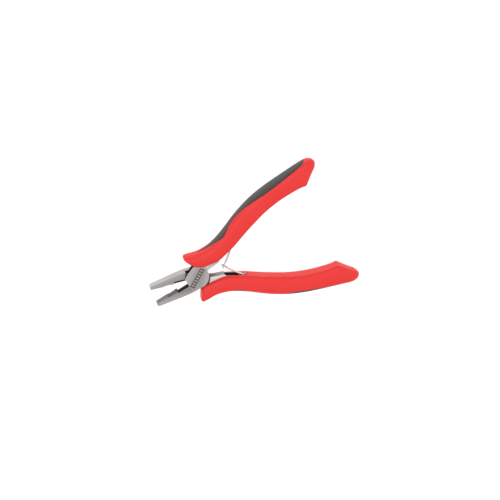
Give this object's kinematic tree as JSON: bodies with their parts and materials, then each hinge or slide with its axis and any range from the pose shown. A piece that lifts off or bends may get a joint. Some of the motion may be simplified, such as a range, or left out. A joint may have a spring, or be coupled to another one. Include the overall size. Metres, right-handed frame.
{
  "type": "crimping pliers",
  "caption": "Small crimping pliers for jewellery work: flat nose, ridged crimping hollow, side cutter, lap joint, two-part soft handle grips and crossed leaf springs that hold them open.",
  "frame": {"origin": "on the pivot axis, at the flat back face of the lap joint", "axes": "+X along the centre line towards the handle ends, +Y towards the handle of the front half, +Z along the pivot axis towards the front face with the recessed panel"},
  "size_m": [0.1218, 0.0852, 0.0124],
  "materials": {
    "forged_steel": "fine ground, satin",
    "rivet_steel": "ground flush",
    "spring_steel": "bright spring steel",
    "grip_red": "smooth soft plastic, semi-gloss",
    "grip_grey": "fine matt texture"
  },
  "bodies": {
    "rear_body": {"rear_half": "forged_steel", "lower_grip_shell": "grip_red", "lower_grip_inlay": "grip_grey", "lower_spring_rivet": "rivet_steel"},
    "front_body": {"front_half": "forged_steel", "pivot_rivet": "rivet_steel", "upper_grip_shell": "grip_red", "upper_grip_inlay": "grip_grey", "upper_spring_rivet": "rivet_steel"},
    "upper_leaf": {"upper_leaf_spring": "spring_steel"},
    "lower_leaf": {"lower_leaf_spring": "spring_steel"}
  },
  "joints": [
    {"name": "main_pivot", "type": "hinge", "parent": "rear_body", "child": "front_body", "pos_m": [0, 0, 0.0045], "axis": [0, 0, 1], "range_deg": [-19, 6], "stiffness_Nm_per_rad": 1.5},
    {"name": "upper_leaf_bend", "type": "hinge", "parent": "front_body", "child": "upper_leaf", "pos_m": [0.02689, 0.01087, 0.0045], "axis": [0, 0, 1], "range_deg": [-14, 5]},
    {"name": "lower_leaf_bend", "type": "hinge", "parent": "rear_body", "child": "lower_leaf", "pos_m": [0.02689, -0.01087, 0.0045], "axis": [0, 0, 1], "range_deg": [-5, 14]}
  ],
  "couplings": [
    {"joint": "upper_leaf_bend", "follows": "main_pivot", "ratio": 0.685},
    {"joint": "lower_leaf_bend", "follows": "main_pivot", "ratio": -0.685}
  ]
}
